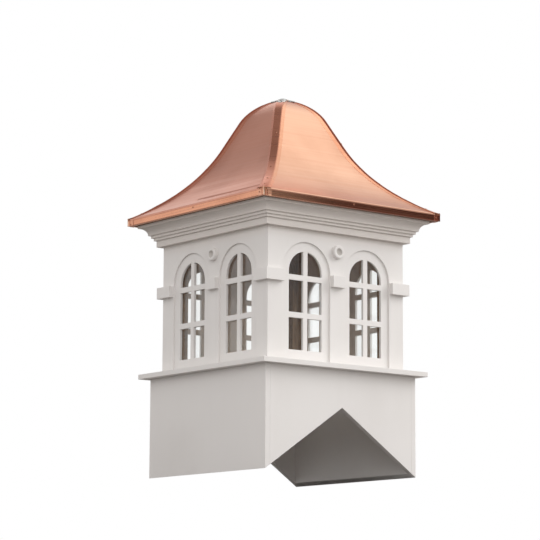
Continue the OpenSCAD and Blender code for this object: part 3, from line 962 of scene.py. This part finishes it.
peak = {
    "cap": [(0.0143, 1.2936), (0.0160, 1.2935), (0.0205, 1.2931), (0.0240, 1.2926), (0.0250, 1.2920),
            (0.0252, 1.2912), (0.0250, 1.2830)],
    "capSides": 40, "capSheet": 0.0009,
    "seal": [(0.0137, 1.2970), (0.0146, 1.2968), (0.0160, 1.2961), (0.0176, 1.2953), (0.0190, 1.2946),
             (0.0204, 1.2941), (0.0217, 1.2936), (0.0245, 1.2928), (0.0275, 1.2920), (0.0305, 1.2912),
             (0.0330, 1.2904), (0.0350, 1.2896), (0.0362, 1.2886), (0.0364, 1.2872)],
    "sealSides": 56, "sealSheet": 0.001,
    "smear": 0.0215, "over": 0.0024,   # beyond this distance it lies this high over the copper
    "rim": 0.0088,                     # what lies lower than this under the bead's top bends down as its rim
    "lumps": 0.0024, "lumpSize": 0.009,
    "pale": (0.52, 0.51, 0.495), "dark": (0.055, 0.04, 0.032),
    "spots": ((120, 120, 120), 3, 0.55, 0.36, 0.5, 0.0, 1.0), "spotDepth": (0.0005, 0.6),
}
# Over the end of each hip cap the sealant runs down in a tongue
tongue = {
    "from": 0.010, "to": (0.064, 0.034, 0.036, 0.032), "half": 0.0152,
    "over": 0.0022, "sink": 0.0042, "sinkCurve": 6,    # over the cap along the middle, and how the sides drop
    "round": 0.2, "tip": 1.02,                         # share of its length that narrows, and where it ends
    "columns": 16, "rows": 40,
}


def makePeak():
    cap = turnPiece("peakDisc", peak["cap"], peak["capSides"])
    thicken(cap, peak["capSheet"])
    soften(cap, 40)
    dress(cap, capCopper, "copper", "peak_cap")
    seal = turnPiece("sealantBead", peak["seal"], peak["sealSides"])
    top = peak["seal"][0][1]
    for vert in seal.data.vertices:  # the smear follows the caps and the panels
        if vert.co.xy.length > peak["smear"]:
            x, y = abs(vert.co.x), abs(vert.co.y)
            onCap = abs(x - y) / math.sqrt(2) < hipCap["edge"]
            ground = hipHeight((x + y) / 2) if onCap else bellHeight(max(x, y)) + hipCap["rise"]
            vert.co.z = ground + peak["over"] - max(0, top - vert.co.z - peak["rim"])
    dent(seal, "sealantLumps", peak["lumpSize"], peak["lumps"], (0.3, 0.2, 0.1), 1.0, 0.75)
    thicken(seal, peak["sealSheet"])
    soften(seal, 60)
    finish, shader = newFinish("greySealant", peak["pale"], 0.55)
    spots = addPattern(finish, *peak["spots"])
    link(finish, mixColors(finish, spots, peak["dark"], peak["pale"]), shader.inputs["Base Color"])
    addBump(finish, shader, spots, *peak["spotDepth"])
    dress(seal, finish, "zinc")
    for index, length in enumerate(tongue["to"]):
        makeTongue(index, length, finish)


def makeTongue(index, length, finish):
    selectOnly(None)
    bpy.ops.mesh.primitive_grid_add(x_subdivisions=tongue["columns"], y_subdivisions=tongue["rows"], size=2)
    blank = bpy.context.object
    for vert in blank.data.vertices:
        aside, along = vert.co.x, (vert.co.y + 1) / 2
        reach = tongue["from"] + (length - tongue["from"]) * along
        taper = math.sqrt(min(1, (tongue["tip"] - along) / tongue["round"]))
        rise = tongue["over"] * taper - tongue["sink"] * aside ** tongue["sinkCurve"]
        middle = Vector((-reach, -reach, hipHeight(reach) + rise))
        vert.co = middle + hipAcross * aside * tongue["half"] * taper
    faceOutward(blank, (0, 0, bell["eaveTop"]))
    dent(blank, "tongueLumps", peak["lumpSize"], peak["lumps"], (0.1 + index, 0.3, 0.2))
    thicken(blank, peak["sealSheet"])
    soften(blank, 60)
    dress(copyPiece(blank, "sealantTongue_" + str(index + 1), 90 * index), finish, "zinc")
    bpy.data.objects.remove(blank)


makePeak()
print("peak capped and sealed")


# Stage, lights and camera

stage = {
    "floorHalf": 9.0, "floorColor": (0.80, 0.79, 0.78), "floorUnder": 0.0005,
    "floorBounce": (0.20, 0.185, 0.175), "floorMirrored": (0.27, 0.25, 0.235),  # as boards and metal see it
    "worldLight": 0.94, "worldColor": (1.0, 0.98, 0.97),
    "key": {"power": 285, "size": 4.2, "place": (4.4, -2.6, 4.2)},
    "fill": {"power": 60, "size": 3.0, "place": (-3.5, -5.0, 2.0)},
    "aim": (0, 0, 0.75),
}
# What metal mirrors: each row is a direction, how near to it the glow starts and ends, and the colour it adds
mirrored = {
    "level": (0.41, 0.41, 0.41),
    "glows": [((0.70, -0.18, 0.70), 0.76, 0.97, (0.90, 1.18, 1.04)),
              ((0.15, -0.65, 0.74), 0.88, 0.98, (1.00, 1.22, 1.10)),
              ((0.50, 0.60, 0.62), 0.90, 0.995, (0.22, 0.22, 0.22)),
              ((0.36, 0.80, 0.48), 0.93, 0.985, (0.45, 0.46, 0.44)),
              ((0.33, 0.50, 0.80), 0.95, 0.995, (0.35, 0.34, 0.33)),
              ((-0.61, 0.78, 0.16), 0.86, 0.99, (0.50, 0.49, 0.46)),
              ((-0.77, -0.61, 0.16), 0.78, 0.96, (-0.13, -0.24, -0.25)),
              ((0.80, -0.58, 0.15), 0.91, 0.974, (-0.35, -0.355, -0.355)),
              ((-0.12, 0.10, 0.98), 0.86, 0.995, (-0.17, -0.17, -0.17))],
}


# Pale from above and see-through from below, where the photograph's camera stands
def makeFloor():
    selectOnly(None)
    bpy.ops.mesh.primitive_grid_add(x_subdivisions=2, y_subdivisions=2, size=2 * stage["floorHalf"],
                                    location=(0, 0, -stage["floorUnder"]))
    floor = bpy.context.object
    floor.name = "paleFloor"
    finish, shader = newFinish("paleFloor", stage["floorColor"], 0.9)
    geometry = addNode(finish, "ShaderNodeNewGeometry")
    path = addNode(finish, "ShaderNodeLightPath")
    through = addNode(finish, "ShaderNodeBsdfTransparent")
    tone = mixColors(finish, path.outputs["Is Glossy Ray"], stage["floorBounce"], stage["floorMirrored"])
    tone = mixColors(finish, path.outputs["Is Camera Ray"], tone, stage["floorColor"])
    link(finish, tone, shader.inputs["Base Color"])
    whole = mixShaders(finish, geometry.outputs["Backfacing"], shader.outputs["BSDF"],
                       through.outputs["BSDF"])
    link(finish, whole, finish.node_tree.nodes["Material Output"].inputs["Surface"])
    floor.data.materials.append(finish)


# Light for the boards, the mirrored glows for the metal, and plain white for the camera
def makeWorld():
    world = bpy.data.worlds.new("studio")
    bpy.context.scene.world = world
    world.use_nodes = True
    world.node_tree.nodes.clear()

    def background(color, strength):
        node = addNode(world, "ShaderNodeBackground")
        node.inputs["Strength"].default_value = strength
        if isinstance(color, tuple):
            node.inputs["Color"].default_value = (*color, 1)
        else:
            link(world, color, node.inputs["Color"])
        return node.outputs["Background"]

    def vectorMath(operation, output, first, second):
        node = addNode(world, "ShaderNodeVectorMath", operation=operation)
        for socket, value in zip(node.inputs, (first, second)):
            if isinstance(value, tuple):
                socket.default_value = value
            else:
                link(world, value, socket)
        return node.outputs[output]

    direction = addNode(world, "ShaderNodeTexCoord").outputs["Generated"]
    total = mirrored["level"]
    for toward, start, end, color in mirrored["glows"]:
        near = vectorMath('DOT_PRODUCT', "Value", direction, tuple(Vector(toward).normalized()))
        tinted = vectorMath('MULTIPLY', "Vector", addRange(world, near, start, end, 0, 1), color)
        total = vectorMath('ADD', "Vector", tinted, total)

    path = addNode(world, "ShaderNodeLightPath")
    light = background(stage["worldColor"], stage["worldLight"])
    lit = mixShaders(world, path.outputs["Is Glossy Ray"], light, background(total, 1.0))
    seen = addMath(world, 'MAXIMUM', path.outputs["Is Camera Ray"], path.outputs["Is Transmission Ray"])
    whole = mixShaders(world, seen, lit, background((1, 1, 1), 1.0))
    link(world, whole, addNode(world, "ShaderNodeOutputWorld").inputs["Surface"])


def addLamp(name, power, size, place):
    lamp = bpy.data.lights.new(name, 'AREA')
    lamp.energy = power
    lamp.size = size
    holder = bpy.data.objects.new(name, lamp)
    holder.location = place
    holder.rotation_euler = (Vector(stage["aim"]) - Vector(place)).to_track_quat('-Z', 'Y').to_euler()
    bpy.context.scene.collection.objects.link(holder)
    holder.visible_camera = False
    holder.visible_glossy = False


photoCamera = {
    "place": (-4.8642, -6.1484, -0.5526), "azimuth": -38.042, "elevation": -9.114, "roll": 0.294,
    "lens": 155.986, "sensor": 36.0, "clip": (0.1, 100),
}


def makeCamera():
    lens = bpy.data.cameras.new("photoCamera")
    lens.lens = photoCamera["lens"]
    lens.sensor_width = photoCamera["sensor"]
    lens.clip_start, lens.clip_end = photoCamera["clip"]
    camera = bpy.data.objects.new("photoCamera", lens)
    azimuth, elevation, roll = (math.radians(photoCamera[key]) for key in ("azimuth", "elevation", "roll"))
    back = Vector((math.sin(azimuth) * math.cos(elevation), -math.cos(azimuth) * math.cos(elevation),
                   math.sin(elevation)))
    right = Vector((math.cos(azimuth), math.sin(azimuth), 0))
    up = back.cross(right)
    axes = Matrix((right * math.cos(roll) + up * math.sin(roll),
                   up * math.cos(roll) - right * math.sin(roll), back))
    camera.matrix_world = Matrix.Translation(photoCamera["place"]) @ axes.transposed().to_4x4()
    bpy.context.scene.collection.objects.link(camera)
    bpy.context.scene.camera = camera


makeFloor()
makeWorld()
addLamp("keySoftbox", **stage["key"])
addLamp("fillSoftbox", **stage["fill"])
makeCamera()
bpy.context.scene.view_settings.view_transform = 'Standard'
print("stage, lights and camera set")
